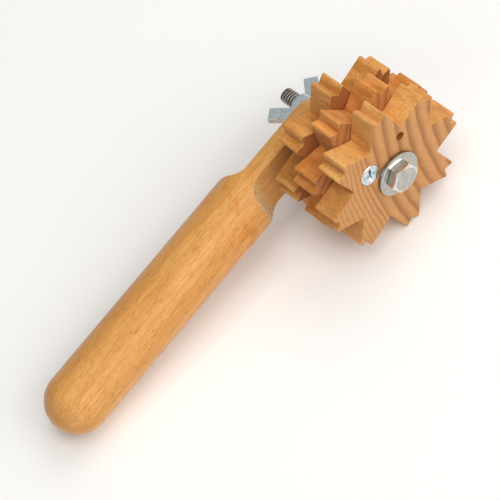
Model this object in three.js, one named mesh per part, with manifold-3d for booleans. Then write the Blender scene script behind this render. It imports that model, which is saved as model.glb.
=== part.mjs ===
// Clay texture wheel: three notched star discs that roll on a hexagon bolt, carried by a turned
// hardwood handle. A wing nut clamps the handle's flat tongue against a jam nut on the bolt.
//
// Units are millimetres. Each piece is made in the tool's own axes: X along the handle towards the
// wheel, Y along the bolt towards the wing nut, Z up, with the origin on the bolt's axis at the
// front face of the wheel. The finished tool then stands on the wheel's rim and the grip's end.

import * as THREE from 'three';
import { mergeVertices } from 'three/addons/utils/BufferGeometryUtils.js';
import Module from 'manifold-3d';

const wasm = await Module();
wasm.setup();

// Star discs
const TEETH = 8;
const TIP_RADIUS = 31.2;
const VALLEY_RADIUS = 20.5;
const VALLEY_FILLET = 0.7;
const TOOTH_LAND = 6.6;
const NOTCH_WIDTH = 4.9;
const NOTCH_ANGLE = 90;
const DISC_THICKNESS = 10.9;
const DISC_EDGE = 0.35;
const WHEEL_TURN = -13.05;

// Countersunk screw that joins the discs, and the blind hole beside it
const SCREW_RADIUS = 14.3;
const SCREW_ANGLE = 125.5;
const SCREW_HEAD_DIAMETER = 8.6;
const SCREW_HEAD_RIM = 0.3;
const SCREW_HEAD_CONE = 2.5;
const SCREW_DIAMETER = 4.2;
const SCREW_POINT = 4;
const SCREW_COVER = 4.5;
const BLIND_HOLE_DIAMETER = 3.6;
const BLIND_HOLE_RADIUS = 16.3;
const BLIND_HOLE_ANGLE = 54.7;
const BLIND_HOLE_FLOOR = 2;

// Bolt, washers and jam nut
const BOLT_DIAMETER = 6.35;
const BOLT_LENGTH = 63.5;
const BOLT_END_CHAMFER = 0.4;
const HEX_FLATS = 11.1;
const HEAD_HEIGHT = 3.8;
const JAM_NUT_HEIGHT = 4;
const HEX_CHAMFER_ANGLE = 30;
const HEX_FACE_SHARE = 0.88;
const HEAD_TURN = 13;
const JAM_NUT_TURN = 20;
const WASHER_DIAMETER = 18.6;
const WASHER_THICKNESS = 1.3;

// Handle
const HANDLE_REACH = 152.8;
const GRIP_DIAMETER = 25.4;
const NECK_DIAMETER = 22.5;
const SHOULDER_LENGTH = 8;
const NOSE_SETBACK = 4.3;
const TONGUE_FRONT = 4.5;
const TONGUE_REAR = 2.5;
const SCOOP_RADIUS = 8.2;
const SCOOP_SKEW = 4;
const REAR_SLOPE_LENGTH = 14.5;
const REAR_SLOPE_EASE = 0.55;

// Wing nut
const HUB_BASE_DIAMETER = 12.6;
const HUB_TOP_DIAMETER = 10;
const HUB_HEIGHT = 6.8;
const WING_SPAN = 26.8;
const WING_HEIGHT = 14.5;
const WING_THICKNESS = 2.6;
const WING_EDGE = 0.5;
const WING_RISE = 52;
const WING_WIDTH = 5.7;
const WING_CORNER = 1;
const WING_TURN = 14.25;

// Clearances
const SEAT_GAP = 0.2;
const RUNNING_GAP = 0.3;
const WHEEL_PLAY = 0.5;
const RIM_CLEARANCE = 1.8;
const CUT_MARGIN = 2;

const ROUND_SEGMENTS = 48;
const BORE_SEGMENTS = 32;
const ARC_STEPS = 8;

// Places along the bolt, measured back from the wheel's front face
const wheelRear = 3 * DISC_THICKNESS + 2 * SEAT_GAP;
const frontWasherFront = -SEAT_GAP - WASHER_THICKNESS;
const headSeat = frontWasherFront - SEAT_GAP;
const boltEnd = headSeat + BOLT_LENGTH;
const rearWasherFront = wheelRear + WHEEL_PLAY;
const jamNutFront = rearWasherFront + WASHER_THICKNESS + SEAT_GAP;
const tongueFront = jamNutFront + JAM_NUT_HEIGHT + SEAT_GAP;
const handleAxis = tongueFront + TONGUE_FRONT;
const tongueRear = handleAxis + TONGUE_REAR;
const wingNutBase = tongueRear + SEAT_GAP;

// Radii that several pieces share
const boltRadius = BOLT_DIAMETER / 2;
const boreRadius = boltRadius + RUNNING_GAP;
const gripRadius = GRIP_DIAMETER / 2;
const neckRadius = NECK_DIAMETER / 2;

// Where the scoop runs out into the tongue's front flat, just clear of the wheel's rim
const scoopEnd = -TIP_RADIUS - RIM_CLEARANCE;

const beech = { color: 0xd9a362, roughness: 0.62, metalness: 0 };
const redBeech = { color: 0xd08a52, roughness: 0.62, metalness: 0 };
const stainless = { color: 0xa9a8a3, roughness: 0.34, metalness: 1 };
const zinc = { color: 0xc4cbd0, roughness: 0.28, metalness: 1 };

const radians = THREE.MathUtils.degToRad;

// A closed geometry as a solid that can be joined and cut
function toSolid(geometry) {
  const bare = new THREE.BufferGeometry();
  bare.setAttribute('position', geometry.getAttribute('position'));
  bare.setIndex(geometry.getIndex());
  const merged = mergeVertices(bare, 1e-5);
  const corners = Array.from(merged.getIndex().array);
  const kept = [];
  for (let i = 0; i < corners.length; i += 3) {
    const [a, b, c] = corners.slice(i, i + 3);
    if (a !== b && b !== c && c !== a) kept.push(a, b, c);
  }
  return new wasm.Manifold(
    new wasm.Mesh({
      numProp: 3,
      vertProperties: Float32Array.from(merged.getAttribute('position').array),
      triVerts: Uint32Array.from(kept),
    }),
  );
}

function toMesh(name, solid, finish) {
  const { vertProperties, triVerts } = solid.getMesh();
  const geometry = new THREE.BufferGeometry();
  geometry.setAttribute('position', new THREE.BufferAttribute(vertProperties, 3));
  geometry.setIndex(new THREE.BufferAttribute(triVerts, 1));
  geometry.computeVertexNormals();
  const mesh = new THREE.Mesh(geometry, new THREE.MeshStandardMaterial(finish));
  mesh.name = name;
  return mesh;
}

// A solid turned about the Y axis from [radius, y] corners that start and end on the axis
function turned(corners, segments = ROUND_SEGMENTS) {
  const profile = corners.map(([radius, y]) => new THREE.Vector2(radius, y));
  return toSolid(new THREE.LatheGeometry(profile, segments));
}

function rod(radius, yFrom, yTo, segments = BORE_SEGMENTS) {
  return turned([[0, yFrom], [radius, yFrom], [radius, yTo], [0, yTo]], segments);
}

// An XZ outline given thickness along Y, starting at yFrom
function plate(shape, yFrom, thickness, edge = 0) {
  const geometry = new THREE.ExtrudeGeometry(shape, {
    depth: thickness - 2 * edge,
    curveSegments: ARC_STEPS,
    bevelEnabled: edge > 0,
    bevelThickness: edge,
    bevelSize: edge,
    bevelOffset: -edge,
    bevelSegments: 1,
  });
  return toSolid(geometry)
    .rotate([90, 0, 0])
    .translate([0, yFrom + thickness - edge, 0]);
}

// Places a solid's Y axis at a radius and an angle round the bolt
function aroundBolt(solid, radius, degrees) {
  const angle = radians(degrees);
  return solid.translate([radius * Math.cos(angle), 0, radius * Math.sin(angle)]);
}

// Star outline: straight flanks from each filleted valley, almost square to each other, to the ends
// of the next tooth's land, and a V notch across that land
function starShape(turn) {
  const pitch = (2 * Math.PI) / TEETH;
  const tipTurn = pitch / 2 - Math.asin(TOOTH_LAND / 2 / TIP_RADIUS);
  const half = Math.atan2(
    TIP_RADIUS * Math.sin(tipTurn),
    TIP_RADIUS * Math.cos(tipTurn) - VALLEY_RADIUS,
  );
  const notchTurn = Math.asin(NOTCH_WIDTH / 2 / TIP_RADIUS);
  const notchFloor = TIP_RADIUS * Math.cos(notchTurn)
    - NOTCH_WIDTH / 2 / Math.tan(radians(NOTCH_ANGLE / 2));
  const filletCentre = VALLEY_RADIUS + VALLEY_FILLET / Math.sin(half);
  const filletSweep = Math.PI / 2 - half;
  const points = [];
  const add = (radius, angle) => {
    points.push(new THREE.Vector2(radius * Math.cos(angle), radius * Math.sin(angle)));
  };
  for (let tooth = 0; tooth < TEETH; tooth += 1) {
    const middle = radians(turn) + tooth * pitch;
    const valley = middle + pitch / 2;
    add(TIP_RADIUS, valley - pitch + tipTurn);
    add(TIP_RADIUS, middle - notchTurn);
    add(notchFloor, middle);
    add(TIP_RADIUS, middle + notchTurn);
    add(TIP_RADIUS, valley - tipTurn);
    for (let step = -1; step <= 1; step += 1) {
      const lean = valley + Math.PI - step * filletSweep;
      points.push(new THREE.Vector2(
        filletCentre * Math.cos(valley) + VALLEY_FILLET * Math.cos(lean),
        filletCentre * Math.sin(valley) + VALLEY_FILLET * Math.sin(lean),
      ));
    }
  }
  return new THREE.Shape(points);
}

// Profile of the joining screw from its flat head to its point, grown on all sides by a clearance,
// so that its hole also runs out through the wheel's face
function screwProfile(grow) {
  const headRadius = SCREW_HEAD_DIAMETER / 2 + grow;
  const shankRadius = SCREW_DIAMETER / 2 + grow;
  const coneEnd = SCREW_HEAD_RIM + SCREW_HEAD_CONE;
  const point = wheelRear - SCREW_COVER;
  return [
    [0, -grow],
    [headRadius, -grow],
    [headRadius, SCREW_HEAD_RIM],
    [shankRadius, coneEnd],
    [shankRadius, point - SCREW_POINT],
    [0, point + grow],
  ];
}

function screw(grow = 0) {
  return aroundBolt(turned(screwProfile(grow), BORE_SEGMENTS), SCREW_RADIUS, SCREW_ANGLE);
}

function makeDisc(name, index, turn, finish) {
  const front = index * (DISC_THICKNESS + SEAT_GAP);
  const rear = front + DISC_THICKNESS;
  let disc = plate(starShape(turn), front, DISC_THICKNESS, DISC_EDGE)
    .subtract(rod(boreRadius, front - CUT_MARGIN, rear + CUT_MARGIN))
    .subtract(screw(SEAT_GAP));
  if (index === 0) {
    const mouth = rod(BLIND_HOLE_DIAMETER / 2, -CUT_MARGIN, DISC_THICKNESS - BLIND_HOLE_FLOOR);
    disc = disc.subtract(aroundBolt(mouth, BLIND_HOLE_RADIUS, BLIND_HOLE_ANGLE));
  }
  return toMesh(name, disc, finish);
}

// A hexagon prism with its corners turned off at the chamfered ends
function hexagon(yFrom, height, chamferFront, chamferRear, turn) {
  const cornerRadius = HEX_FLATS / Math.sqrt(3);
  const prism = toSolid(new THREE.CylinderGeometry(cornerRadius, cornerRadius, height, 6))
    .rotate([0, -turn, 0])
    .translate([0, yFrom + height / 2, 0]);
  const faceRadius = (HEX_FACE_SHARE * HEX_FLATS) / 2;
  const outside = cornerRadius + CUT_MARGIN;
  const drop = (outside - faceRadius) * Math.tan(radians(HEX_CHAMFER_ANGLE));
  const front = chamferFront
    ? [[0, yFrom], [faceRadius, yFrom], [outside, yFrom + drop]]
    : [[0, yFrom], [outside, yFrom]];
  const rear = chamferRear
    ? [[outside, yFrom + height - drop], [faceRadius, yFrom + height], [0, yFrom + height]]
    : [[outside, yFrom + height], [0, yFrom + height]];
  return prism.intersect(turned([...front, ...rear]));
}

function makeBolt() {
  const head = hexagon(headSeat - HEAD_HEIGHT, HEAD_HEIGHT, true, false, HEAD_TURN);
  const shank = turned([
    [0, headSeat - HEAD_HEIGHT / 2],
    [boltRadius, headSeat - HEAD_HEIGHT / 2],
    [boltRadius, boltEnd - BOLT_END_CHAMFER],
    [boltRadius - BOLT_END_CHAMFER, boltEnd],
    [0, boltEnd],
  ], BORE_SEGMENTS);
  return toMesh('axle_bolt', head.add(shank), stainless);
}

function makeWasher(name, front) {
  const rear = front + WASHER_THICKNESS;
  const washer = rod(WASHER_DIAMETER / 2, front, rear, ROUND_SEGMENTS)
    .subtract(rod(boreRadius, front - CUT_MARGIN, rear + CUT_MARGIN));
  return toMesh(name, washer, stainless);
}

function makeJamNut() {
  const rear = jamNutFront + JAM_NUT_HEIGHT;
  const nut = hexagon(jamNutFront, JAM_NUT_HEIGHT, true, true, JAM_NUT_TURN)
    .subtract(rod(boreRadius, jamNutFront - CUT_MARGIN, rear + CUT_MARGIN));
  return toMesh('jam_nut', nut, stainless);
}

// The turned blank of the handle: round end, straight grip, shoulder, neck and round nose
function handleBlank() {
  const corners = [];
  const gripEnd = gripRadius - HANDLE_REACH;
  const shoulder = scoopEnd - SCOOP_RADIUS;
  for (let step = 0; step <= ARC_STEPS; step += 1) {
    const angle = (step / ARC_STEPS) * (Math.PI / 2);
    corners.push([gripRadius * Math.sin(angle), gripEnd - gripRadius * Math.cos(angle)]);
  }
  for (let step = 0; step <= ARC_STEPS; step += 1) {
    const share = step / ARC_STEPS;
    const blend = (1 - Math.cos(share * Math.PI)) / 2;
    corners.push([
      gripRadius + (neckRadius - gripRadius) * blend,
      shoulder + share * SHOULDER_LENGTH,
    ]);
  }
  for (let step = 0; step <= ARC_STEPS; step += 1) {
    const angle = (step / ARC_STEPS) * (Math.PI / 2);
    corners.push([neckRadius * Math.cos(angle), neckRadius * Math.sin(angle) - NOSE_SETBACK]);
  }
  corners[0][0] = 0;
  corners[corners.length - 1][0] = 0;
  return turned(corners).rotate([0, 0, -90]);
}

// An outline in X and Y given thickness along Z, centred on the handle's axis
function slab(shape, depth) {
  const geometry = new THREE.ExtrudeGeometry(shape, {
    depth,
    curveSegments: ARC_STEPS,
    bevelEnabled: false,
  });
  return toSolid(geometry).translate([0, 0, -depth / 2]);
}

// What is cut from the front of the blank: the tongue's flat, ending in a concave scoop
function frontCut() {
  const outside = gripRadius + CUT_MARGIN;
  const scoopFloor = -TONGUE_FRONT - SCOOP_RADIUS;
  const shape = new THREE.Shape();
  shape.moveTo(-scoopEnd + outside, -TONGUE_FRONT);
  shape.lineTo(0, -TONGUE_FRONT);
  shape.absarc(0, scoopFloor, SCOOP_RADIUS, Math.PI / 2, Math.PI, false);
  shape.lineTo(-SCOOP_RADIUS, -outside);
  shape.lineTo(-scoopEnd + outside, -outside);
  return slab(shape, 3 * GRIP_DIAMETER)
    .rotate([0, SCOOP_SKEW, 0])
    .translate([scoopEnd, 0, 0]);
}

// What is cut from the rear of the blank: the tongue's other flat, ending in an S slope
function rearCut() {
  const outside = gripRadius + CUT_MARGIN;
  const slopeEnd = scoopEnd - REAR_SLOPE_LENGTH;
  const reach = REAR_SLOPE_LENGTH * REAR_SLOPE_EASE;
  const shape = new THREE.Shape();
  shape.moveTo(outside, TONGUE_REAR);
  shape.lineTo(outside, outside);
  shape.lineTo(slopeEnd - CUT_MARGIN, outside);
  shape.lineTo(slopeEnd, gripRadius);
  shape.bezierCurveTo(
    slopeEnd + reach, gripRadius, scoopEnd - reach, TONGUE_REAR, scoopEnd, TONGUE_REAR,
  );
  return slab(shape, 3 * GRIP_DIAMETER);
}

function makeHandle() {
  const handle = handleBlank()
    .subtract(frontCut())
    .subtract(rearCut())
    .translate([0, handleAxis, 0])
    .subtract(rod(boreRadius, tongueFront - CUT_MARGIN, tongueRear + CUT_MARGIN));
  return toMesh('handle', handle, beech);
}

// One wing in the plane of the nut: X out from the bolt, Y up from the nut's base. It is a strip
// that rises outwards from the hub and ends square, with rounded corners. Its root runs on below
// the base, where the nut is trimmed flat.
function wingShape() {
  const rise = radians(WING_RISE);
  const along = new THREE.Vector2(Math.cos(rise), Math.sin(rise));
  const across = new THREE.Vector2(along.y, -along.x);
  const point = (u, v) => along.clone().multiplyScalar(u).addScaledVector(across, v);
  const outer = point(0, WING_WIDTH / 2);
  const inner = point(0, -WING_WIDTH / 2);
  const tip = (WING_SPAN / 2 - outer.x) / along.x;
  const root = tip - (WING_HEIGHT + WING_WIDTH) / along.y;
  const lift = WING_HEIGHT - (tip * along.y + inner.y);
  const corner = (u, v) => point(u, v).add(new THREE.Vector2(0, lift));
  const shape = new THREE.Shape();
  const edge = WING_WIDTH / 2;
  const start = corner(root, edge);
  const outerEnd = corner(tip - WING_CORNER, edge);
  const outerCorner = corner(tip, edge);
  const outerTurn = corner(tip, edge - WING_CORNER);
  const innerTurn = corner(tip, WING_CORNER - edge);
  const innerCorner = corner(tip, -edge);
  const innerEnd = corner(tip - WING_CORNER, -edge);
  const finish = corner(root, -edge);
  shape.moveTo(start.x, start.y);
  shape.lineTo(outerEnd.x, outerEnd.y);
  shape.quadraticCurveTo(outerCorner.x, outerCorner.y, outerTurn.x, outerTurn.y);
  shape.lineTo(innerTurn.x, innerTurn.y);
  shape.quadraticCurveTo(innerCorner.x, innerCorner.y, innerEnd.x, innerEnd.y);
  shape.lineTo(finish.x, finish.y);
  return shape;
}

function makeWing() {
  const geometry = new THREE.ExtrudeGeometry(wingShape(), {
    depth: WING_THICKNESS - 2 * WING_EDGE,
    curveSegments: ARC_STEPS,
    bevelThickness: WING_EDGE,
    bevelSize: WING_EDGE,
    bevelOffset: -WING_EDGE,
    bevelSegments: 1,
  });
  return toSolid(geometry).translate([0, wingNutBase, WING_EDGE - WING_THICKNESS / 2]);
}

function makeWingNut() {
  const wing = makeWing();
  const hub = turned([
    [0, wingNutBase],
    [HUB_BASE_DIAMETER / 2, wingNutBase],
    [HUB_TOP_DIAMETER / 2, wingNutBase + HUB_HEIGHT],
    [0, wingNutBase + HUB_HEIGHT],
  ]);
  const nut = hub
    .add(wing)
    .add(wing.rotate([0, 180, 0]))
    .trimByPlane([0, 1, 0], wingNutBase)
    .subtract(rod(boreRadius, wingNutBase - CUT_MARGIN, wingNutBase + WING_HEIGHT + CUT_MARGIN))
    .rotate([0, WING_TURN, 0]);
  return toMesh('wing_nut', nut, zinc);
}

const tool = new THREE.Group();
tool.add(
  makeHandle(),
  makeBolt(),
  makeWasher('front_washer', frontWasherFront),
  makeDisc('star_disc_front', 0, WHEEL_TURN, beech),
  makeDisc('star_disc_middle', 1, WHEEL_TURN + 180 / TEETH, redBeech),
  makeDisc('star_disc_rear', 2, WHEEL_TURN, beech),
  toMesh('disc_screw', screw(), zinc),
  makeWasher('rear_washer', rearWasherFront),
  makeJamNut(),
  makeWingNut(),
);

// The handle rises towards the wheel, which is larger than the grip
const rise = Math.asin((TIP_RADIUS - gripRadius) / (HANDLE_REACH - gripRadius));
tool.rotation.y = -rise;

// The origin lies on the floor under the middle of the tool
const box = new THREE.Box3().setFromObject(tool, true);
const middle = box.getCenter(new THREE.Vector3());
tool.position.set(-middle.x, -middle.y, -box.min.z);

const clayTextureWheel = new THREE.Group();
clayTextureWheel.name = 'clay_texture_wheel';
clayTextureWheel.add(tool);

export default clayTextureWheel;
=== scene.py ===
"""Clay texture wheel: a beech handle and three notched star discs on a hexagon bolt.

Every piece is modelled in millimetres in the tool's own axes and then placed in the shared frame:
X runs along the handle towards the wheel, Y back along the bolt towards the wing nut, and Z up,
from the point where the bolt's axis meets the wheel's front face.
"""

import logging
import math
from dataclasses import dataclass, replace
from enum import Enum
from typing import Optional, Sequence, Union

import bmesh
import bpy
from mathutils import Euler, Matrix, Vector
from mathutils.geometry import interpolate_bezier


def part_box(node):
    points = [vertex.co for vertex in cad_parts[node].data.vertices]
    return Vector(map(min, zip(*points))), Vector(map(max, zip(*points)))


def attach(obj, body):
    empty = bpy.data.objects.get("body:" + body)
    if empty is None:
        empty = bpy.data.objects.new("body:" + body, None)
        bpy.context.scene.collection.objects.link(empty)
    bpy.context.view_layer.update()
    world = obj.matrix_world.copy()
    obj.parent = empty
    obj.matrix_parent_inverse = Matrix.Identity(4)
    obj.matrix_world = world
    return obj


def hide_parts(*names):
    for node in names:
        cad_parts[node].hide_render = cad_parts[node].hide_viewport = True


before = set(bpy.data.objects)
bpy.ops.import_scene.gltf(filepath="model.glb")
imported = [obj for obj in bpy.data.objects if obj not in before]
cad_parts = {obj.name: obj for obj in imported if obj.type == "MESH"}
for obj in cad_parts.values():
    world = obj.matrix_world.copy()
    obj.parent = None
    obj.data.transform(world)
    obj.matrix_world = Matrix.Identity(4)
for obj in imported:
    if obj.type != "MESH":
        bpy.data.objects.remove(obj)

LOG = logging.getLogger("clay_texture_wheel")

MM = 0.001
FULL_TURN = 2 * math.pi
MERGE_DISTANCE = 1e-5
SHARP_EDGE = math.radians(30)
LIGHTEST_SPOT = (1.12, 1.12, 1.12)

Corner = tuple[float, float]
Triple = tuple[float, float, float]
Colour = Triple
Shades = tuple[Colour, Colour]
Socket = bpy.types.NodeSocket
Value = Union[float, Socket]
Inputs = dict[Union[str, int], object]


class Body(Enum):
    """The moving bodies that pieces ride on."""

    HANDLE = "handle"
    AXLE = "axle"
    WHEEL = "wheel"
    WING_NUT = "wing_nut"


class Finish(Enum):
    """The record's material slots."""

    BEECH = "beech"
    RED_BEECH = "red_beech"
    STAINLESS = "stainless"
    ZINC = "zinc"


class Cut(Enum):
    """How one solid acts on another."""

    ADD = "UNION"
    REMOVE = "DIFFERENCE"
    KEEP = "INTERSECT"


@dataclass(frozen=True)
class ToolAxes:
    """The tool's own axes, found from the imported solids."""

    origin: Vector
    tilt: float

    @classmethod
    def from_frame(cls) -> "ToolAxes":
        """Finds the bolt's axis, the wheel's face and the handle's tilt.

        Returns:
            The tool's axes in the shared frame.
        """
        washer_low, washer_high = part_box("front_washer")
        handle_low, handle_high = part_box("handle")
        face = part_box("star_disc_front")[0].y
        grip_radius = (handle_high.y - handle_low.y) / 2
        axle = (washer_low + washer_high) / 2
        tilt = math.atan2(
            axle.z - handle_low.z - grip_radius,
            axle.x - handle_low.x - grip_radius,
        )
        return cls(Vector((axle.x, face, axle.z)), tilt)

    def turn(self) -> Matrix:
        """Gives the turn from the tool's axes to the frame's."""
        return Matrix.Rotation(-self.tilt, 4, "Y")

    def place(self) -> Matrix:
        """Gives the placement that also takes millimetres to metres."""
        return Matrix.Translation(self.origin) @ self.turn() @ Matrix.Scale(MM, 4)

    def span(self, node: str) -> Corner:
        """Measures a node's front and rear in millimetres behind the wheel's front face."""
        low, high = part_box(node)
        return (low.y - self.origin.y) / MM, (high.y - self.origin.y) / MM


AXES = ToolAxes.from_frame()


class Shape:
    """A solid under construction, in millimetres in the tool's axes."""

    def __init__(self, bm: bmesh.types.BMesh, name: str) -> None:
        """Puts the drawn form in an object of its own.

        Args:
            bm: The form, which is freed here.
            name: The object's name.
        """
        mesh = bpy.data.meshes.new(name)
        bm.to_mesh(mesh)
        bm.free()
        self.object = bpy.data.objects.new(name, mesh)
        bpy.context.scene.collection.objects.link(self.object)

    def moved(self, matrix: Matrix) -> "Shape":
        """Moves the solid and gives it back."""
        self.object.data.transform(matrix)
        return self

    def _apply(self, modifier: bpy.types.Modifier) -> None:
        """Makes a modifier's result the object's own mesh.

        Args:
            modifier: The modifier, already set.
        """
        graph = bpy.context.evaluated_depsgraph_get()
        result = bpy.data.meshes.new_from_object(self.object.evaluated_get(graph))
        self.object.modifiers.remove(modifier)
        before = self.object.data
        self.object.data = result
        bpy.data.meshes.remove(before)

    def combine(self, other: "Shape", cut: Cut) -> "Shape":
        """Joins, cuts or trims with another solid, which is used up.

        Args:
            other: The solid that acts.
            cut: How it acts.

        Returns:
            This shape.
        """
        modifier = self.object.modifiers.new("combine", "BOOLEAN")
        modifier.operation = cut.value
        modifier.solver = "EXACT"
        modifier.object = other.object
        self._apply(modifier)
        bpy.data.objects.remove(other.object)
        return self

    def ease(self, voxel: float, passes: int) -> "Shape":
        """Rounds every edge a little, as sanding or casting does.

        Args:
            voxel: The mesh's fineness in millimetres.
            passes: How often the surface is smoothed.

        Returns:
            This shape.
        """
        modifier = self.object.modifiers.new("ease", "REMESH")
        modifier.mode = "VOXEL"
        modifier.voxel_size = voxel
        self._apply(modifier)
        bm = bmesh.new()
        bm.from_mesh(self.object.data)
        for _ in range(passes):
            bmesh.ops.smooth_vert(
                bm, verts=bm.verts, factor=0.5, use_axis_x=True, use_axis_y=True, use_axis_z=True
            )
        bm.to_mesh(self.object.data)
        bm.free()
        return self

    def soften(self, width: float) -> "Shape":
        """Rounds the sharp outer edges of a plain-sided solid.

        Args:
            width: The rounding's width in millimetres.

        Returns:
            This shape.
        """
        bm = bmesh.new()
        bm.from_mesh(self.object.data)
        sharp = [e for e in bm.edges if e.calc_face_angle_signed(0.0) > SHARP_EDGE]
        bmesh.ops.bevel(
            bm,
            geom=sharp,
            offset=width,
            offset_type="OFFSET",
            affect="EDGES",
            segments=3,
            profile=0.5,
            material=-1,
            clamp_overlap=False,
        )
        bm.to_mesh(self.object.data)
        bm.free()
        return self

    def finish(
        self, material: bpy.types.Material, sharp_above: Optional[float] = 35.0
    ) -> bpy.types.Object:
        """Places the solid in the frame and dresses it.

        Args:
            material: Its surface.
            sharp_above: Edges sharper than this many degrees keep a crease; None keeps none.

        Returns:
            The finished object.
        """
        mesh = self.object.data
        mesh.transform(AXES.place())
        mesh.materials.clear()
        mesh.materials.append(material)
        mesh.shade_smooth()
        if sharp_above is not None:
            mesh.set_sharp_from_angle(angle=math.radians(sharp_above))
        mesh.update()
        return self.object


def turned(name: str, profile: Sequence[Corner], segments: int = 64) -> Shape:
    """Turns a profile about the bolt's axis.

    Args:
        name: The shape's name.
        profile: Corners of radius and distance back along Y, from axis to axis.
        segments: Steps round the circle.

    Returns:
        The turned solid.
    """
    bm = bmesh.new()
    corners = [bm.verts.new((radius, y, 0.0)) for radius, y in profile]
    edges = [bm.edges.new(pair) for pair in zip(corners, corners[1:])]
    bmesh.ops.spin(
        bm,
        geom=corners + edges,
        cent=(0, 0, 0),
        axis=(0, 1, 0),
        angle=FULL_TURN,
        steps=segments,
        use_merge=True,
    )
    bmesh.ops.remove_doubles(bm, verts=bm.verts, dist=MERGE_DISTANCE)
    bmesh.ops.recalc_face_normals(bm, faces=bm.faces)
    return Shape(bm, name)


def rod(name: str, radius: float, front: float, rear: float, segments: int = 64) -> Shape:
    """Makes a plain round bar on the bolt's axis, from one place along Y to another."""
    return turned(name, [(0, front), (radius, front), (radius, rear), (0, rear)], segments)


def beside_bolt(radius: float, degrees: float) -> Vector:
    """Gives the point at a radius and an angle round the bolt."""
    angle = math.radians(degrees)
    return Vector((radius * math.cos(angle), 0.0, radius * math.sin(angle)))


def block(name: str, low: Sequence[float], high: Sequence[float]) -> Shape:
    """Makes a square block between two corners.

    Args:
        name: The shape's name.
        low: Its lowest corner.
        high: Its highest corner.

    Returns:
        The block.
    """
    low, high = Vector(low), Vector(high)
    bm = bmesh.new()
    bmesh.ops.create_cube(bm, size=1.0)
    bmesh.ops.scale(bm, verts=bm.verts, vec=high - low)
    bmesh.ops.translate(bm, verts=bm.verts, vec=(low + high) / 2)
    return Shape(bm, name)


def slab(name: str, outline: Sequence[Corner], depth: float) -> Shape:
    """Gives an XY outline thickness along Z, centred on the XY plane.

    Args:
        name: The shape's name.
        outline: Corners in X and Y.
        depth: The thickness.

    Returns:
        The slab.
    """
    bm = bmesh.new()
    corners = [bm.verts.new((x, y, -depth / 2)) for x, y in outline]
    face = bm.faces.new(corners)
    made = bmesh.ops.extrude_face_region(bm, geom=[face])["geom"]
    moved = [part for part in made if isinstance(part, bmesh.types.BMVert)]
    bmesh.ops.translate(bm, verts=moved, vec=(0, 0, depth))
    bmesh.ops.recalc_face_normals(bm, faces=bm.faces)
    return Shape(bm, name)


def hexagon(name: str, front: float, rear: float, turn: float, both_ends: bool) -> Shape:
    """Makes a hexagon with its corners turned off at the front, or at both ends.

    Args:
        name: The shape's name.
        front: Where it starts along Y.
        rear: Where it ends along Y.
        turn: Its turn about the bolt in degrees.
        both_ends: Whether the rear corners are turned off too.

    Returns:
        The hexagon.
    """
    flats, face_share, slope = 11.1, 0.88, math.tan(math.radians(30))
    bm = bmesh.new()
    bmesh.ops.create_cone(
        bm,
        cap_ends=True,
        segments=6,
        radius1=flats / math.sqrt(3),
        radius2=flats / math.sqrt(3),
        depth=rear - front,
    )
    middle = (front + rear) / 2
    placing = Matrix.Translation((0, middle, 0)) @ Matrix.Rotation(math.radians(-turn), 4, "Y")
    bmesh.ops.transform(bm, verts=bm.verts, matrix=placing @ Matrix.Rotation(-math.pi / 2, 4, "X"))
    face = face_share * flats / 2
    if both_ends:
        ridge = face + (middle - front) / slope
        rest = [(ridge, middle), (face, rear), (0, rear)]
    else:
        rest = [(flats, front + (flats - face) * slope), (flats, rear + 1), (0, rear + 1)]
    trim = turned(name + "_trim", [(0, front), (face, front), *rest])
    return Shape(bm, name).combine(trim, Cut.KEEP)


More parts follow.
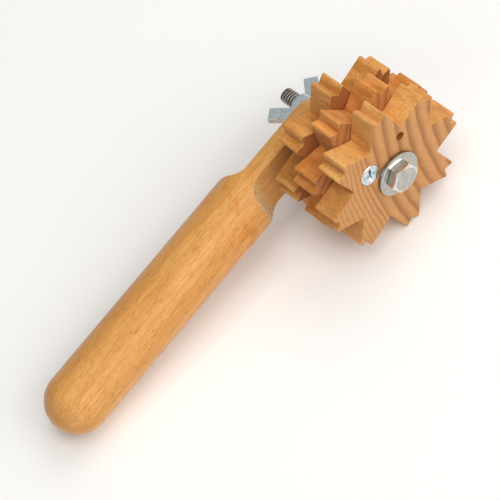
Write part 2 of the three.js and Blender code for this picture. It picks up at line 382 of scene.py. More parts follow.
class NodeSheet:
    """One material's nodes, written as plain calls."""

    def __init__(self, name: str) -> None:
        """Starts a material with its Principled shader.

        Args:
            name: The material's name.
        """
        self.material = bpy.data.materials.new(name)
        self.material.use_nodes = True
        self.tree = self.material.node_tree
        self.shader = self.tree.nodes["Principled BSDF"]

    def feed(self, node: bpy.types.Node, inputs: Inputs) -> None:
        """Sets or links a node's inputs.

        Args:
            node: The node.
            inputs: A value or an output socket for each input's name or number.
        """
        for key, value in inputs.items():
            if isinstance(value, bpy.types.NodeSocket):
                self.tree.links.new(value, node.inputs[key])
            else:
                node.inputs[key].default_value = value

    def add(self, kind: str, inputs: Inputs, **settings: object) -> bpy.types.Node:
        """Adds a node.

        Args:
            kind: Its type, without the leading ShaderNode.
            inputs: Its inputs.
            **settings: Its own properties.

        Returns:
            The node.
        """
        node = self.tree.nodes.new("ShaderNode" + kind)
        for key, value in settings.items():
            setattr(node, key, value)
        self.feed(node, inputs)
        return node

    def math(self, operation: str, first: Value, second: Value = 0.0) -> Socket:
        """Adds a calculation on one or two values and gives its result."""
        return self.add("Math", {0: first, 1: second}, operation=operation).outputs[0]

    def ranged(
        self, value: Value, low: float, high: float, start: float = 0.0, end: float = 1.0
    ) -> Socket:
        """Maps a value smoothly from the range low to high onto the range start to end."""
        inputs = {0: value, 1: low, 2: high, 3: start, 4: end}
        return self.add("MapRange", inputs, interpolation_type="SMOOTHSTEP").outputs[0]

    def noise(self, vector: Socket, scale: float, detail: float = 2.0) -> Socket:
        """Adds a noise and gives its value."""
        inputs = {"Vector": vector, "Scale": scale, "Detail": detail, "Roughness": 0.55}
        return self.add("TexNoise", inputs).outputs[0]

    def ramp(self, value: Socket, stops: Sequence[tuple[float, Colour]]) -> Socket:
        """Turns a value into a colour.

        Args:
            value: What is looked up.
            stops: Places from 0 to 1 with linear colours.

        Returns:
            The colour.
        """
        node = self.add("ValToRGB", {0: value})
        elements = node.color_ramp.elements
        while len(elements) < len(stops):
            elements.new(1.0)
        for element, (place, colour) in zip(elements, stops):
            element.position = place
            element.color = (*colour, 1.0)
        return node.outputs[0]

    def levels(self, value: Socket, stops: Sequence[Corner]) -> Socket:
        """Turns a value into a grey level, from stops of place and level."""
        return self.ramp(value, [(stop, (level, level, level)) for stop, level in stops])

    def mixed(self, share: Value, first: object, second: object, blend: str = "MIX") -> Socket:
        """Mixes two colours.

        Args:
            share: How much of the second.
            first: A colour or socket.
            second: A colour or socket.
            blend: The way they mix.

        Returns:
            The mixed colour.
        """
        node = self.add("Mix", {}, data_type="RGBA", blend_type=blend)
        for key, value in ((0, share), (6, first), (7, second)):
            if isinstance(value, tuple):
                value = (*value, 1.0)
            self.feed(node, {key: value})
        return node.outputs[2]

    def tool_place(self) -> Socket:
        """Reads the point that is shaded.

        Returns:
            The point in millimetres in the tool's axes.
        """
        coordinates = self.add("TexCoord", {}).outputs["Object"]
        inputs = {
            "Vector": coordinates,
            "Location": AXES.origin,
            "Rotation": (0.0, -AXES.tilt, 0.0),
            "Scale": (MM, MM, MM),
        }
        return self.add("Mapping", inputs, vector_type="TEXTURE").outputs[0]

    def stretched(self, place: Socket, shares: Triple) -> Socket:
        """Scales a point along each axis, so that a pattern drawn on it stretches."""
        return self.add("VectorMath", {0: place, 1: shares}, operation="MULTIPLY").outputs[0]

    def speckled(self, base: object, noise: Socket, share: float, darkest: Colour) -> Socket:
        """Multiplies a colour by a noise's spots, which run from darkest to LIGHTEST_SPOT."""
        spots = self.ramp(noise, [(0.32, darkest), (0.66, LIGHTEST_SPOT)])
        return self.mixed(share, base, spots, "MULTIPLY")

    def from_axis(
        self,
        place: Socket,
        centre: Sequence[float] = (0.0, 0.0, 0.0),
        across: Triple = (1.0, 0.0, 1.0),
    ) -> Socket:
        """Gives how far a point lies from a straight line, which is the bolt's axis by default.

        Args:
            place: The point in millimetres.
            centre: A point of the line.
            across: 0 for the axis that the line runs along, and 1 for the other two.

        Returns:
            The distance in millimetres.
        """
        offset = self.add("VectorMath", {0: place, 1: centre}, operation="SUBTRACT").outputs[0]
        flat = self.stretched(offset, across)
        return self.add("VectorMath", {0: flat}, operation="LENGTH").outputs["Value"]

    def facing(self, axis: int) -> Socket:
        """Gives how squarely the surface faces along an axis of the frame, from 0 to 1."""
        normal = self.add("TexCoord", {}).outputs["Normal"]
        return self.math("ABSOLUTE", self.add("SeparateXYZ", {0: normal}).outputs[axis])

    def bump(self, height: Socket, strength: float, distance: float) -> None:
        """Raises the surface by a height from 0 to 1, where 1 is the distance in metres."""
        inputs = {"Height": height, "Strength": strength, "Distance": distance}
        self.feed(self.shader, {"Normal": self.add("Bump", inputs).outputs[0]})


def linear_step(step: int) -> float:
    """Turns one step of 0 to 255 into linear light."""
    share = step / 255
    return share / 12.92 if share <= 0.04045 else ((share + 0.055) / 1.055) ** 2.4


def linear(red: int, green: int, blue: int) -> Colour:
    """Turns a colour of three steps of 0 to 255 into linear light."""
    return linear_step(red), linear_step(green), linear_step(blue)


@dataclass(frozen=True)
class EndGrainBeech:
    """Beech cut across with a saw, so its rings show on the faces and its fibres run along the bolt."""

    name: str
    long: Shades
    face: Shades
    pith: Triple
    ring: float
    phase: float
    fine_beyond: float = 140.0
    hole: Optional[Vector] = None
    hole_rim: Corner = (1.75, 1.9)
    # Painted shade inside the blind hole: its wall and floor are darkened.
    hole_shade: Colour = (0.5, 0.38, 0.26)
    # Painted shade and light on the teeth: the first colour below darkens the long-grain flanks, the second
    # lightens the tooth lands at the rim, fading in between the two radii after them.
    flank_shade: Colour = (0.99, 0.97, 0.93)
    land_light: Colour = (1.05, 1.1, 1.12)
    land_light_rim: Corner = (29.3, 30.5)

    def late_wood(self, sheet: NodeSheet, place: Socket) -> Socket:
        """Finds how far a point lies into a year's late wood.

        Args:
            sheet: The material's nodes.
            place: The point in millimetres.

        Returns:
            A value from 0 in early wood to 1 at the year's end.
        """
        away = sheet.from_axis(place, self.pith)
        away = sheet.math("ADD", away, sheet.math("MULTIPLY", sheet.noise(place, 0.06), 3.2))
        beyond = sheet.math("MAXIMUM", sheet.math("SUBTRACT", away, self.fine_beyond), 0.0)
        years = sheet.math("DIVIDE", away, self.ring)
        years = sheet.math("ADD", years, sheet.math("MULTIPLY", beyond, 0.3))
        year = sheet.math("FRACT", sheet.math("ADD", years, self.phase))
        stops = ((0.0, 0.85), (0.1, 0.2), (0.22, 0.0), (0.5, 0.1), (0.86, 0.85), (0.95, 1.0), (1.0, 0.85))
        late = sheet.levels(year, stops)
        return sheet.math("MULTIPLY", late, sheet.ranged(beyond, 0.0, 8.0, 1.0, 0.6))

    def material(self) -> bpy.types.Material:
        """Builds the wood.

        Returns:
            The material.
        """
        sheet = NodeSheet(self.name)
        place = sheet.tool_place()
        late = self.late_wood(sheet, place)
        dots = sheet.noise(place, 3.4, 4.0)
        soft = sheet.noise(place, 0.45, 2.0)
        face = sheet.mixed(late, *self.face)
        face = sheet.speckled(face, dots, 0.6, (0.84, 0.82, 0.78))
        face = sheet.speckled(face, soft, 0.5, (0.9, 0.88, 0.84))
        streaks = sheet.noise(sheet.stretched(place, (1.0, 0.12, 1.0)), 2.2, 4.0)
        fuzz = sheet.noise(sheet.stretched(place, (1.0, 0.4, 1.0)), 2.4, 5.0)
        broad = sheet.noise(sheet.stretched(place, (1.0, 0.3, 1.0)), 0.24, 2.0)
        long = sheet.mixed(sheet.ranged(broad, 0.35, 0.65), *self.long)
        long = sheet.speckled(long, streaks, 0.5, (0.72, 0.66, 0.58))
        long = sheet.speckled(long, fuzz, 0.6, (0.64, 0.58, 0.48))
        long = sheet.mixed(sheet.math("MULTIPLY", late, 0.2), long, self.long[1])
        # Painted shade on the flanks and painted light on the tooth lands, set by distance from the bolt.
        land_light = sheet.ranged(sheet.from_axis(place), *self.land_light_rim)
        painted_light = sheet.mixed(land_light, self.flank_shade, self.land_light)
        long = sheet.mixed(1.0, long, painted_light, "MULTIPLY")
        flat = sheet.ranged(sheet.facing(1), 0.6, 0.9)
        colour = sheet.mixed(flat, long, face)
        # Painted shade: the blind hole's wall and floor are darkened.
        if self.hole is not None:
            inside = sheet.ranged(sheet.from_axis(place, self.hole), *self.hole_rim, 1.0, 0.0)
            colour = sheet.mixed(inside, colour, self.hole_shade, "MULTIPLY")
        sheet.feed(sheet.shader, {"Base Color": colour, "Roughness": 0.58, "Specular IOR Level": 0.3})
        sheet.feed(sheet.shader, {"Sheen Weight": 0.12, "Sheen Roughness": 0.4})
        height = sheet.math("ADD", sheet.math("ADD", streaks, fuzz), sheet.math("MULTIPLY", dots, 0.3))
        sheet.bump(height, 0.5, 0.0005)
        return sheet.material


@dataclass(frozen=True)
class TurnedBeech:
    """Beech with its fibres along the handle, its rings almost flat under the grip's upper side."""

    handle_axis: float
    name: str = "beech_handle"
    light: Colour = linear(219, 162, 93)
    dark: Colour = linear(205, 137, 64)
    fleck: Colour = linear(156, 94, 38)
    end_grain: Colour = linear(231, 189, 124)
    scoop_from: Corner = (-47.0, -42.0)
    burnish: Colour = (0.95, 0.74, 0.42)
    burnish_from: Corner = (-62.0, -50.0)
    burnish_to: Corner = (-43.5, -41.5)
    ring: float = 4.3
    pith_depth: float = 58.0
    pith_lean: Corner = (-0.55, -0.835)
    last_ring: float = 11.1

    def late_wood(self, sheet: NodeSheet, place: Socket) -> Socket:
        """Finds how far a point lies into a year's late wood.

        Args:
            sheet: The material's nodes.
            place: The point in millimetres.

        Returns:
            A value from 0 in early wood to 1 at the year's end.
        """
        lean_y, lean_z = self.pith_lean
        pith = (0.0, self.handle_axis + lean_y * self.pith_depth, lean_z * self.pith_depth)
        away = sheet.from_axis(place, pith, (0.0, 1.0, 1.0))
        slow = sheet.noise(sheet.stretched(place, (0.4, 1.0, 1.0)), 0.045, 1.0)
        away = sheet.math("ADD", away, sheet.ranged(slow, 0.3, 0.7, -1.1, 1.1))
        years = sheet.math("SUBTRACT", away, self.pith_depth + self.last_ring)
        year = sheet.math("FRACT", sheet.math("DIVIDE", years, self.ring))
        stops = ((0.0, 1.0), (0.12, 0.8), (0.45, 0.2), (0.75, 0.0), (0.93, 0.1), (1.0, 1.0))
        return sheet.levels(year, stops)

    def flecks(self, sheet: NodeSheet, place: Socket, size: float, least: float) -> Socket:
        """Scatters the short dark ends of the rays.

        Args:
            sheet: The material's nodes.
            place: The point in millimetres.
            size: How many cells there are to a millimetre.
            least: The share of cells left empty.

        Returns:
            A value from 0 to 1.
        """
        cells = sheet.add(
            "TexVoronoi",
            {"Vector": sheet.stretched(place, (0.11, 1.0, 1.0)), "Scale": size, "Randomness": 1.0},
        )
        chosen = sheet.add("SeparateColor", {0: cells.outputs["Color"]}).outputs[0]
        near = sheet.ranged(cells.outputs["Distance"], 0.14, 0.34, 1.0, 0.0)
        return sheet.math("MULTIPLY", near, sheet.ranged(chosen, least, least + 0.15))

    def material(self) -> bpy.types.Material:
        """Builds the wood.

        Returns:
            The material.
        """
        sheet = NodeSheet(self.name)
        place = sheet.tool_place()
        late = self.late_wood(sheet, place)
        streaks = sheet.noise(sheet.stretched(place, (0.06, 1.0, 1.0)), 2.0, 4.0)
        broad = sheet.noise(sheet.stretched(place, (0.09, 1.0, 1.0)), 0.2, 2.0)
        patches = sheet.ranged(broad, 0.38, 0.66, 0.0, 0.6)
        shade = sheet.math("MAXIMUM", patches, sheet.math("MULTIPLY", late, 0.5))
        wood = sheet.mixed(shade, self.light, self.dark)
        wood = sheet.speckled(wood, streaks, 0.75, (0.84, 0.77, 0.66))
        fleck = sheet.math(
            "MAXIMUM",
            self.flecks(sheet, place, 1.9, 0.3),
            sheet.math("MULTIPLY", self.flecks(sheet, place, 2.7, 0.2), 0.6),
        )
        thick = sheet.ranged(broad, 0.35, 0.6, 0.55, 0.85)
        wood = sheet.mixed(sheet.math("MULTIPLY", fleck, thick), wood, self.fleck)
        along = sheet.add("SeparateXYZ", {0: place}).outputs[0]
        near_shoulder = sheet.math(
            "MULTIPLY",
            sheet.ranged(along, *self.burnish_from),
            sheet.ranged(along, *self.burnish_to, 1.0, 0.0),
        )
        spots = sheet.ranged(sheet.noise(place, 0.17, 1.0), 0.5, 0.62, 0.0, 0.8)
        burnt = sheet.math("MULTIPLY", near_shoulder, spots)
        wood = sheet.mixed(burnt, wood, self.burnish, "MULTIPLY")
        fibres = sheet.noise(sheet.stretched(place, (0.7, 1.0, 0.45)), 2.1, 3.0)
        pores = sheet.speckled(self.end_grain, fibres, 1.0, (0.52, 0.46, 0.4))
        # Pale end-grain colour where the surface faces along the handle: real end grain on the scoop, and a
        # painted highlight band on the shoulder's gentle slope.
        across = sheet.ranged(sheet.facing(0), 0.06, 0.5, 0.0, 0.9)
        cut = sheet.math("MULTIPLY", across, sheet.ranged(along, *self.scoop_from))
        wood = sheet.mixed(cut, wood, pores)
        sheet.feed(sheet.shader, {"Base Color": wood, "Roughness": 0.48, "Specular IOR Level": 0.35})
        sheet.feed(sheet.shader, {"Sheen Weight": 0.4, "Sheen Roughness": 0.3})
        sheet.bump(sheet.math("SUBTRACT", streaks, fleck), 0.25, 0.00015)
        return sheet.material


@dataclass(frozen=True)
class PlainMetal:
    """Bright hardware whose faces along one axis take one colour and its other sides another, as painted
    light and shade, with painted shade in its thread's grooves.
    """

    name: str
    face: Colour
    side_shading: Colour
    roughness: float
    grain: float
    face_axis: int = 1
    face_from: float = 0.88
    # Painted shade for the thread's grooves, fading from their floor radius to their mouth radius.
    groove_shade: Colour = (0.1, 0.095, 0.085)
    groove_floor: float = 2.55
    groove_mouth: float = 3.1
    relief: float = 0.1
    cloud_shade: Colour = (0.82, 0.83, 0.84)

    def material(self) -> bpy.types.Material:
        """Builds the metal.

        Returns:
            The material.
        """
        sheet = NodeSheet(self.name)
        place = sheet.tool_place()
        cloud = sheet.noise(place, 0.6, 3.0)
        fine = sheet.noise(sheet.stretched(place, (1.0, 0.12, 1.0)), self.grain, 3.0)
        # Painted shade: the thread's grooves darken towards their floors.
        depth = sheet.ranged(sheet.from_axis(place), self.groove_floor, self.groove_mouth)
        side_shading = sheet.mixed(depth, self.groove_shade, self.side_shading)
        # Painted light and shade: faces along the face axis take the face colour, all other sides the side
        # colour.
        facing = sheet.facing(self.face_axis)
        flat = sheet.ranged(facing, self.face_from, self.face_from + 0.08)
        colour = sheet.mixed(flat, side_shading, self.face)
        shade = sheet.ranged(cloud, 0.35, 0.65)
        colour = sheet.mixed(shade, colour, self.cloud_shade, "MULTIPLY")
        rough = sheet.ranged(fine, 0.3, 0.7, self.roughness - 0.05, self.roughness + 0.06)
        sheet.feed(sheet.shader, {"Base Color": colour, "Metallic": 1.0, "Roughness": rough})
        sheet.bump(fine, self.relief, 0.0001)
        return sheet.material


DISC_WOODS = {
    "star_disc_front": EndGrainBeech(
        "beech_front",
        long=(linear(237, 177, 106), linear(216, 150, 82)),
        face=(linear(207, 149, 90), linear(168, 107, 55)),
        pith=(125.4, 0.0, -23.8),
        ring=5.4,
        phase=0.86,
    ),
    "star_disc_middle": EndGrainBeech(
        "beech_red",
        long=(linear(231, 160, 88), linear(206, 130, 62)),
        face=(linear(192, 128, 74), linear(162, 98, 50)),
        pith=(-70.0, 0.0, 90.0),
        ring=3.6,
        phase=0.5,
    ),
    # The rear disc's colours are darker than the front's as painted shade on its face and flanks, which sit
    # behind the front disc.
    "star_disc_rear": EndGrainBeech(
        "beech_rear",
        long=(linear(231, 168, 95), linear(201, 134, 66)),
        face=(linear(168, 104, 52), linear(138, 78, 34)),
        pith=(40.0, 0.0, -120.0),
        ring=4.2,
        phase=0.7,
    ),
}
# The face and side colours below are painted light and shade: the steel's end faces darker than its flats
# and thread, the washers' rims dark, and the zinc wing nut's hub and edges paler than its wings' flat
# faces.
STEEL = PlainMetal("stainless", (0.52, 0.51, 0.475), (0.8, 0.78, 0.74), roughness=0.2, grain=5.0)
PLATE = PlainMetal("stainless_sheet", (0.5, 0.485, 0.44), (0.3, 0.29, 0.27), roughness=0.12, grain=2.0)
CAST_ZINC = PlainMetal("zinc", (0.62, 0.71, 0.76), (0.86, 0.9, 0.92), 0.26, 2.0, face_axis=2, face_from=0.6)
BRIGHT_ZINC = PlainMetal("bright_zinc", (0.66, 0.72, 0.74), (0.6, 0.68, 0.72), roughness=0.12, grain=2.0)


def settle(piece: bpy.types.Object, body: Body, node: str) -> None:
    """Hands a finished piece to the frame and reports it.

    Args:
        piece: The finished object.
        body: The body that it rides on.
        node: The CAD node that it stands for.
    """
    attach(piece, body.value)
    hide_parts(node)
    LOG.info("%s: %d faces on %s", piece.name, len(piece.data.polygons), body.value)


@dataclass
class Handle:
    """The turned handle with its tongue cut with a saw."""

    reach: float = 152.78
    grip_radius: float = 12.7
    neck_radius: float = 11.25
    shoulder: float = -41.2
    shoulder_length: float = 8.0
    scoop_end: float = -33.0
    scoop_radius: float = 8.2
    scoop_skew: float = 4.0
    tongue_front: float = 4.5
    tongue_rear: float = 2.5
    nose_setback: float = 4.3
    slope_length: float = 14.5
    slope_ease: float = 0.55
    bore_radius: float = 3.475
    steps: int = 16
    fineness: float = 0.4
    sanding: int = 3

    @property
    def axis(self) -> float:
        """Gives where the handle's axis lies along the bolt."""
        return sum(AXES.span("handle")) / 2

    def blank(self) -> Shape:
        """Turns the blank along the handle's axis.

        Returns:
            The blank.
        """
        quarter = [step / self.steps * math.pi / 2 for step in range(self.steps + 1)]
        end = self.grip_radius - self.reach
        profile = [
            (self.grip_radius * math.sin(a), end - self.grip_radius * math.cos(a)) for a in quarter
        ]
        for step in range(self.steps + 1):
            share = step / self.steps
            blend = (1 - math.cos(share * math.pi)) / 2
            radius = self.grip_radius + (self.neck_radius - self.grip_radius) * blend
            profile.append((radius, self.shoulder + share * self.shoulder_length))
        profile += [
            (self.neck_radius * math.cos(a), self.neck_radius * math.sin(a) - self.nose_setback)
            for a in quarter
        ]
        profile[0] = (0.0, profile[0][1])
        profile[-1] = (0.0, profile[-1][1])
        return turned("turned_handle", profile, 128).moved(Matrix.Rotation(-math.pi / 2, 4, "Z"))

    def front_cuts(self) -> list[Shape]:
        """Draws what is cut from the front.

        Returns:
            The flat, then the scoop that ends it.
        """
        deep = 4 * self.grip_radius
        flat = block("flat_cut", (0, -deep, -deep), (deep, -self.tongue_front, deep))
        scoop = rod("scoop_cut", self.scoop_radius, -deep, deep, 96)
        scoop.moved(Matrix.Rotation(math.pi / 2, 4, "X"))
        scoop.moved(Matrix.Translation((0, -self.tongue_front - self.scoop_radius, 0)))
        skew = Matrix.Translation((self.scoop_end, 0, 0))
        skew @= Matrix.Rotation(math.radians(self.scoop_skew), 4, "Y")
        return [flat.moved(skew), scoop.moved(skew)]

    def rear_cut(self) -> Shape:
        """Draws what is cut from the rear.

        Returns:
            The flat and the S slope that ends it, as one solid.
        """
        outside = 2 * self.grip_radius
        slope_end = self.scoop_end - self.slope_length
        reach = self.slope_length * self.slope_ease
        curve = interpolate_bezier(
            Vector((slope_end, self.grip_radius)),
            Vector((slope_end + reach, self.grip_radius)),
            Vector((self.scoop_end - reach, self.tongue_rear)),
            Vector((self.scoop_end, self.tongue_rear)),
            2 * self.steps,
        )
        outline = [(outside, self.tongue_rear), (outside, outside), (slope_end - 2, outside)]
        outline.append((slope_end - 2, self.grip_radius + 0.05))
        outline += [(point.x, point.y) for point in curve]
        return slab("rear_cut", outline, 4 * outside)

    def build(self) -> None:
        """Cuts the blank to shape, sands it and dresses it."""
        shape = self.blank()
        for cutter in (*self.front_cuts(), self.rear_cut()):
            shape.combine(cutter, Cut.REMOVE)
        shape.combine(rod("bore", self.bore_radius, -30, 30), Cut.REMOVE)
        shape.moved(Matrix.Translation((0, self.axis, 0))).ease(self.fineness, self.sanding)
        wood = TurnedBeech(self.axis).material()
        settle(shape.finish(wood, None), Body.HANDLE, "handle")


@dataclass
class JoiningScrew:
    """The countersunk cross-head screw that joins the discs, and the hole that it sits in."""

    radius: float = 14.3
    angle: float = 125.5
    head: float = 4.3
    rim: float = 0.3
    cone: float = 2.5
    shank: float = 2.1
    point: float = 4.0
    rounding: float = 0.15
    clearance: float = 0.2
    recess_reach: float = 2.9
    recess_width: float = 0.56
    recess_depth: float = 2.0
    recess_turn: float = 20.0
    recess_taper: float = 0.25

    def placed(self, shape: Shape) -> Shape:
        """Moves a shape from the bolt's axis to the screw's."""
        return shape.moved(Matrix.Translation(beside_bolt(self.radius, self.angle)))

    def shaft(self, gap: float) -> list[Corner]:
        """Draws the screw below its head's face.

        Args:
            gap: How far outside the screw's own surface the profile runs.

        Returns:
            Corners of radius and distance along Y.
        """
        front, rear = AXES.span("disc_screw")
        return [
            (self.head + gap, front + self.rim),
            (self.shank + gap, front + self.rim + self.cone),
            (self.shank + gap, rear - self.point),
            (0, rear + gap),
        ]

    def hole(self) -> Shape:
        """Draws the hole that runs through the discs.

        Returns:
            The hole's own volume.
        """
        gap = self.clearance
        mouth = AXES.span("disc_screw")[0] - gap
        profile = [(0, mouth), (self.head + gap, mouth), *self.shaft(gap)]
        return self.placed(turned("screw_hole", profile))

    def recess_blade(self, turn: float) -> Shape:
        """Gives one tapered blade of the screw's cross recess.

        Args:
            turn: The blade's turn in degrees.

        Returns:
            The blade, standing on the head's face at the axis.
        """
        bm = bmesh.new()
        bmesh.ops.create_cone(
            bm,
            cap_ends=True,
            segments=4,
            radius1=self.recess_reach,
            radius2=self.recess_reach * self.recess_taper,
            depth=self.recess_depth,
        )
        bmesh.ops.rotate(
            bm, verts=bm.verts, cent=(0, 0, 0), matrix=Matrix.Rotation(math.pi / 4, 3, "Z")
        )
        narrow = self.recess_width / self.recess_reach
        bmesh.ops.scale(bm, verts=bm.verts, vec=(math.sqrt(2), narrow * math.sqrt(2), 1.0))
        bmesh.ops.translate(bm, verts=bm.verts, vec=(0, 0, self.recess_depth / 2 - 0.05))
        upright = Matrix.Rotation(math.radians(turn), 4, "Y") @ Matrix.Rotation(-math.pi / 2, 4, "X")
        bmesh.ops.transform(bm, verts=bm.verts, matrix=upright)
        return Shape(bm, "recess_blade")

    def build(self) -> None:
        """Makes the screw."""
        front = AXES.span("disc_screw")[0]
        rounded = [(self.head - self.rounding, front), (self.head, front + self.rounding)]
        shape = turned("cross_head_screw", [(0, front), *rounded, *self.shaft(0)])
        for turn in (self.recess_turn, self.recess_turn + 90):
            shape.combine(self.recess_blade(turn), Cut.REMOVE)
        piece = self.placed(shape).finish(BRIGHT_ZINC.material(), 25.0)
        settle(piece, Body.WHEEL, "disc_screw")


@dataclass
class Hardware:
    """The bolt with its washers and jam nut."""

    bolt_radius: float = 3.175
    thread_pitch: float = 1.27
    thread_depth: float = 0.72
    thread_length: float = 21.0
    thread_steps: int = 28
    end_chamfer: float = 0.45
    head_height: float = 3.8
    head_turn: float = 13.0
    nut_turn: float = 20.0
    washer_radius: float = 9.3
    washer_edge: float = 0.18
    bore_radius: float = 3.475

    def thread(self, start: float, end: float) -> Shape:
        """Winds the thread's ridge round the bolt.

        Args:
            start: Where it starts along Y.
            end: Where it has run past the bolt's end.

        Returns:
            The ridge, closed at both ends.
        """
        root = self.bolt_radius - self.thread_depth - 0.1
        half_root, half_crest = 0.47 * self.thread_pitch, 0.05 * self.thread_pitch
        bm = bmesh.new()
        crest = self.bolt_radius
        section = ((root, -half_root), (crest, -half_crest), (crest, half_crest), (root, half_root))
        face = bm.faces.new([bm.verts.new((radius, start + y, 0.0)) for radius, y in section])
        turns = math.ceil((end - start) / self.thread_pitch)
        bmesh.ops.spin(
            bm,
            geom=[face, *face.verts, *face.edges],
            cent=(0, 0, 0),
            axis=(0, -1, 0),
            dvec=(0, self.thread_pitch / self.thread_steps, 0),
            angle=FULL_TURN * turns,
            steps=self.thread_steps * turns,
            use_merge=False,
        )
        bmesh.ops.recalc_face_normals(bm, faces=bm.faces)
        return Shape(bm, "thread")

    def build_bolt(self, material: bpy.types.Material) -> None:
        """Makes the hexagon bolt with its rolled thread.

        Args:
            material: The bolt's metal.
        """
        front, rear = AXES.span("axle_bolt")
        seat = front + self.head_height
        start = rear - self.thread_length
        radius, core = self.bolt_radius, self.bolt_radius - self.thread_depth
        shank = [(0, seat - 1), (radius, seat - 1), (radius, start)]
        shape = turned(
            "threaded_bolt", [*shank, (core, start + self.thread_depth), (core, rear), (0, rear)]
        )
        shape.combine(self.thread(start, rear + 1), Cut.ADD)
        chamfer = [(radius + 1, rear - self.end_chamfer - 1), (radius - self.end_chamfer, rear)]
        outside = [(0, seat - 2), (radius + 1, seat - 2), *chamfer, (0, rear)]
        shape.combine(turned("bolt_envelope", outside), Cut.KEEP)
        head = hexagon("bolt_head", front, seat, self.head_turn, False)
        shape.combine(head, Cut.ADD)
        settle(shape.finish(material, 25.0), Body.AXLE, "axle_bolt")

    def build_washer(self, node: str, name: str, material: bpy.types.Material) -> None:
        """Makes a washer with its stamped edges a little rounded.

        Args:
            node: The CAD node that it stands for.
            name: The piece's name.
            material: The washer's metal.
        """
        front, rear = AXES.span(node)
        edge, outer, inner = self.washer_edge, self.washer_radius, self.bore_radius
        profile = [
            (inner + edge, front),
            (outer - edge, front),
            (outer - edge / 3, front + edge / 3),
            (outer, front + edge),
            (outer, rear - edge),
            (outer - edge, rear),
            (inner + edge, rear),
            (inner, rear - edge),
            (inner, front + edge),
            (inner + edge, front),
        ]
        shape = turned(name, profile, 96)
        settle(shape.finish(material), Body.AXLE, node)

    def build_jam_nut(self, material: bpy.types.Material) -> None:
        """Makes the jam nut.

        Args:
            material: The nut's metal.
        """
        front, rear = AXES.span("jam_nut")
        shape = hexagon("jam_nut_hexagon", front, rear, self.nut_turn, True)
        shape.combine(rod("nut_bore", self.bore_radius, front - 2, rear + 2), Cut.REMOVE)
        settle(shape.finish(material, 25.0), Body.AXLE, "jam_nut")

    def build(self) -> None:
        """Makes the bolt, its two washers and its jam nut."""
        steel = STEEL.material()
        plate = PLATE.material()
        self.build_bolt(steel)
        self.build_washer("front_washer", "washer_front", plate)
        self.build_washer("rear_washer", "washer_rear", plate)
        self.build_jam_nut(steel)


@dataclass
class WingNut:
    """The wing nut that clamps the tongue."""

    hub_base: float = 6.3
    hub_top: float = 5.0
    hub_height: float = 6.8
    span: float = 26.8
    height: float = 14.5
    thickness: float = 2.6
    width: float = 5.7
    rise: float = 52.0
    turn: float = 14.25
    bore_radius: float = 3.3
    fineness: float = 0.17
    smoothing: int = 3

    def wing(self, base: float) -> Shape:
        """Makes one wing, a strip that rises outwards from the hub.

        Args:
            base: Where the nut's base lies along Y.

        Returns:
            The wing.
        """
        rise = math.radians(self.rise)
        along = Vector((math.cos(rise), math.sin(rise)))
        across = Vector((along.y, -along.x))
        tip = (self.span / 2 - across.x * self.width / 2) / along.x
        root = tip - (self.height + self.width) / along.y
        lift = self.height - tip * along.y + across.y * self.width / 2
        outline = []
        for reach, side in ((root, 1), (tip, 1), (tip, -1), (root, -1)):
            point = along * reach + across * (side * self.width / 2)
            outline.append((point.x, point.y + lift + base))
        return slab("wing", outline, self.thickness)

    def build(self) -> None:
        """Joins the hub and its two wings as one casting."""
        base = AXES.span("wing_nut")[0]
        top = base + self.hub_height
        hub = [(0, base), (self.hub_base, base), (self.hub_top, top), (0, top)]
        shape = turned("cast_wing_nut", hub, 96)
        for half_turn in (0, math.pi):
            wing = self.wing(base).moved(Matrix.Rotation(half_turn, 4, "Y"))
            shape.combine(wing, Cut.ADD)
        shape.combine(block("base_trim", (-20, base - 20, -20), (20, base, 20)), Cut.REMOVE)
        shape.combine(rod("nut_bore", self.bore_radius, base - 2, base + 20), Cut.REMOVE)
        shape.moved(Matrix.Rotation(math.radians(self.turn), 4, "Y"))
        shape.ease(self.fineness, self.smoothing)
        piece = shape.finish(CAST_ZINC.material(), None)
        settle(piece, Body.WING_NUT, "wing_nut")


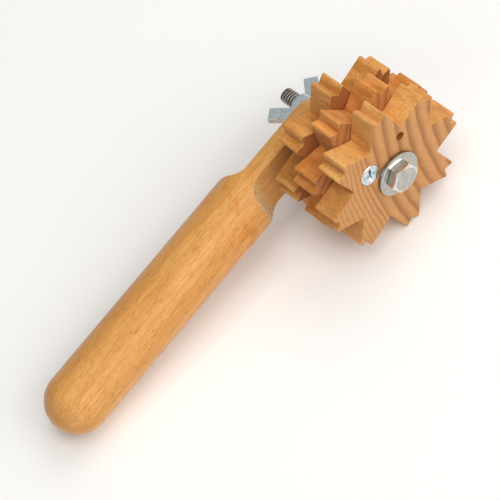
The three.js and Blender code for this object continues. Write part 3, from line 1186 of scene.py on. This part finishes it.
@dataclass
class Wheel:
    """The three star discs, cut from beech with a saw, with their edges worn a little round."""

    screw: JoiningScrew
    teeth: int = 8
    turn: float = -13.05
    tip_radius: float = 31.2
    valley_radius: float = 20.5
    valley_fillet: float = 0.7
    fillet_steps: int = 4
    land: float = 6.6
    notch: float = 4.9
    edge: float = 0.36
    bore_radius: float = 3.475
    hole_radius: float = 1.8
    hole_place: float = 16.3
    hole_angle: float = 54.7
    hole_floor: float = 2.0

    def outline(self, turn: float) -> list[Corner]:
        """Draws a star disc's outline.

        Args:
            turn: The turn of its first tooth in degrees.

        Returns:
            Its corners, across the bolt and up.
        """
        pitch = FULL_TURN / self.teeth
        tip_turn = pitch / 2 - math.asin(self.land / 2 / self.tip_radius)
        half = math.atan2(
            self.tip_radius * math.sin(tip_turn),
            self.tip_radius * math.cos(tip_turn) - self.valley_radius,
        )
        notch_turn = math.asin(self.notch / 2 / self.tip_radius)
        notch_floor = self.tip_radius * math.cos(notch_turn) - self.notch / 2
        centre = self.valley_radius + self.valley_fillet / math.sin(half)
        sweep = math.pi / 2 - half
        corners = []
        for tooth in range(self.teeth):
            middle = math.radians(turn) + tooth * pitch
            valley = middle + pitch / 2
            for radius, angle in (
                (self.tip_radius, valley - pitch + tip_turn),
                (self.tip_radius, middle - notch_turn),
                (notch_floor, middle),
                (self.tip_radius, middle + notch_turn),
                (self.tip_radius, valley - tip_turn),
            ):
                corners.append((radius * math.cos(angle), radius * math.sin(angle)))
            for step in range(self.fillet_steps + 1):
                lean = valley + math.pi + sweep * (1 - 2 * step / self.fillet_steps)
                x = centre * math.cos(valley) + self.valley_fillet * math.cos(lean)
                z = centre * math.sin(valley) + self.valley_fillet * math.sin(lean)
                corners.append((x, z))
        return corners

    def build_disc(self, node: str, turn: float, blind: bool) -> None:
        """Saws one disc.

        Args:
            node: The CAD node that it stands for.
            turn: The turn of its first tooth in degrees.
            blind: Whether the short blind hole is drilled in its face.
        """
        front, rear = AXES.span(node)
        shape = slab(node.replace("star_disc", "notched_star"), self.outline(turn), rear - front)
        shape.moved(Matrix.Rotation(math.pi / 2, 4, "X"))
        shape.moved(Matrix.Translation((0, (front + rear) / 2, 0))).soften(self.edge)
        shape.combine(rod("bore", self.bore_radius, front - 2, rear + 2), Cut.REMOVE)
        shape.combine(self.screw.hole(), Cut.REMOVE)
        wood = DISC_WOODS[node]
        if blind:
            place = beside_bolt(self.hole_place, self.hole_angle)
            hole = rod("blind_hole", self.hole_radius, front - 2, rear - self.hole_floor)
            shape.combine(hole.moved(Matrix.Translation(place)), Cut.REMOVE)
            wood = replace(wood, hole=place)
        settle(shape.finish(wood.material(), 12.0), Body.WHEEL, node)

    def build(self) -> None:
        """Saws the three discs, the middle one turned half a pitch."""
        half_pitch = 180 / self.teeth
        self.build_disc("star_disc_front", self.turn, True)
        self.build_disc("star_disc_middle", self.turn + half_pitch, False)
        self.build_disc("star_disc_rear", self.turn, False)


@dataclass
class Studio:
    """The pale floor, the soft lamps and the camera."""

    paper: Colour = linear(252, 251, 248)
    camera_place: Triple = (-103.07, -448.3, 676.5)
    camera_right: Triple = (0.643, -0.647, -0.410)
    camera_up: Triple = (0.764, 0.502, 0.406)
    camera_back: Triple = (-0.057, -0.575, 0.816)
    lens: float = 160.06
    sensor: float = 36.0
    floor_reach: float = 3.0
    room_colour: Colour = (1.0, 0.97, 0.93)
    room_light: float = 0.01
    mirrored_light: float = 0.6
    lamp_distance: float = 2.6
    lamp_size: float = 1.5
    lamps: tuple[Triple, ...] = (
        (-150, 35, 8.4),
        (-120, 35, 3.6),
        (-90, 35, 13.9),
        (-60, 35, 20.4),
        (-30, 35, 2.8),
        (-90, 60, 14.1),
        (0, 50, 13.9),
        (35, 50, 9.0),
        (0, 90, 16.4),
    )

    def build_floor(self) -> None:
        """Lays the pale floor under the tool."""
        bm = bmesh.new()
        bmesh.ops.create_grid(bm, x_segments=1, y_segments=1, size=self.floor_reach)
        floor = Shape(bm, "floor").object
        sheet = NodeSheet("pale_paper")
        sheet.feed(
            sheet.shader,
            {"Base Color": (*self.paper, 1.0), "Roughness": 1.0, "Specular IOR Level": 0.0},
        )
        floor.data.materials.append(sheet.material)

    def build_lamp(self, azimuth: float, elevation: float, power: float) -> None:
        """Hangs a soft square lamp that looks at the tool.

        Args:
            azimuth: Its bearing from +X in degrees.
            elevation: Its height above the floor in degrees.
            power: Its power in watts.
        """
        place = Vector((self.lamp_distance, 0.0, 0.0))
        place.rotate(Euler((0.0, -math.radians(elevation), math.radians(azimuth))))
        name = f"lamp_{azimuth:g}_{elevation:g}"
        data = bpy.data.lights.new(name, "AREA")
        data.shape = "SQUARE"
        data.size = self.lamp_size
        data.energy = power
        lamp = bpy.data.objects.new(name, data)
        lamp.location = place
        lamp.rotation_euler = (-place).to_track_quat("-Z", "Y").to_euler()
        lamp.visible_glossy = azimuth < 0
        bpy.context.scene.collection.objects.link(lamp)

    def build_world(self) -> None:
        """Surrounds the tool with a dim room that bright metal mirrors as a pale one."""
        world = bpy.data.worlds.new("studio")
        bpy.context.scene.world = world
        world.use_nodes = True
        tree = world.node_tree
        background = tree.nodes["Background"]
        background.inputs[0].default_value = (*self.room_colour, 1.0)
        rays = tree.nodes.new("ShaderNodeLightPath")
        level = tree.nodes.new("ShaderNodeMapRange")
        level.inputs[3].default_value = self.room_light
        level.inputs[4].default_value = self.mirrored_light
        tree.links.new(rays.outputs["Is Glossy Ray"], level.inputs[0])
        tree.links.new(level.outputs[0], background.inputs[1])

    def build_camera(self) -> None:
        """Sets the camera at the photograph's viewing angle."""
        data = bpy.data.cameras.new("camera")
        data.sensor_width = self.sensor
        data.lens = self.lens
        data.clip_end = 20.0
        camera = bpy.data.objects.new("camera", data)
        turn = Matrix((self.camera_right, self.camera_up, self.camera_back)).transposed()
        placing = (AXES.turn() @ turn.to_4x4()).normalized()
        placing.translation = AXES.place() @ Vector(self.camera_place)
        camera.matrix_world = placing
        bpy.context.scene.collection.objects.link(camera)
        bpy.context.scene.camera = camera

    def build(self) -> None:
        """Sets up the whole studio."""
        self.build_camera()
        self.build_floor()
        self.build_world()
        for azimuth, elevation, power in self.lamps:
            self.build_lamp(azimuth, elevation, power)
        bpy.context.scene.view_settings.view_transform = "Standard"


def main() -> None:
    """Builds the scene piece by piece."""
    logging.basicConfig(level=logging.INFO, format="%(name)s: %(message)s")
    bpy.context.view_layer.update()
    Studio().build()
    Handle().build()
    screw = JoiningScrew()
    Wheel(screw).build()
    Hardware().build()
    screw.build()
    WingNut().build()


if __name__ == "__main__":
    main()
